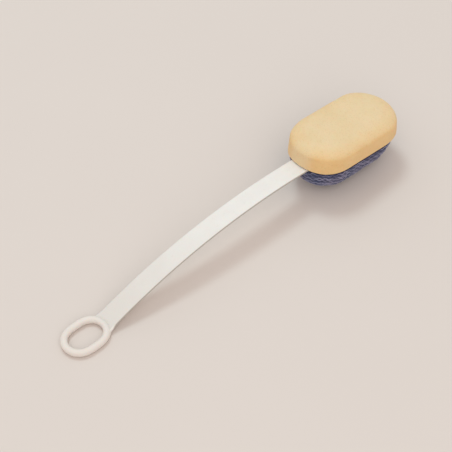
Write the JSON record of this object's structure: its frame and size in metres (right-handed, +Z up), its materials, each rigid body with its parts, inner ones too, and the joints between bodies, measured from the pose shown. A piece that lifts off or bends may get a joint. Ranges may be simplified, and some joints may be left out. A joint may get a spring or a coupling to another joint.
{
  "type": "back scrubber",
  "caption": "Long-handled back scrubber: an arched flat plastic strap with an oval hanging loop, and an oval head with a foam sponge on top and a netted scrubbing pad beneath.",
  "frame": {"origin": "middle of the bounding box in plan, on the table that the scrubber lies on", "axes": "+X along the scrubber from the hanging loop to the head, +Z up through the sponge, +Y across; lying as stored on a table with the sponge up"},
  "size_m": [0.4222, 0.0708, 0.0627],
  "materials": {
    "handle_plastic": "satin",
    "sponge_foam": "matte",
    "scrub_net": "matte",
    "lining_cloth": "matte",
    "core_foam": "matte",
    "binding_tape": "matte",
    "sewing_thread": "satin",
    "adhesive": "satin"
  },
  "bodies": {
    "root": {"handle": "handle_plastic", "sponge_pad": "sponge_foam", "net_cover": "scrub_net", "cover_lining": "lining_cloth", "core_pad": "core_foam", "seam_binding": "binding_tape", "seam_thread": "sewing_thread", "sponge_glue_film": "adhesive", "paddle_glue_film": "adhesive"}
  },
  "joints": []
}
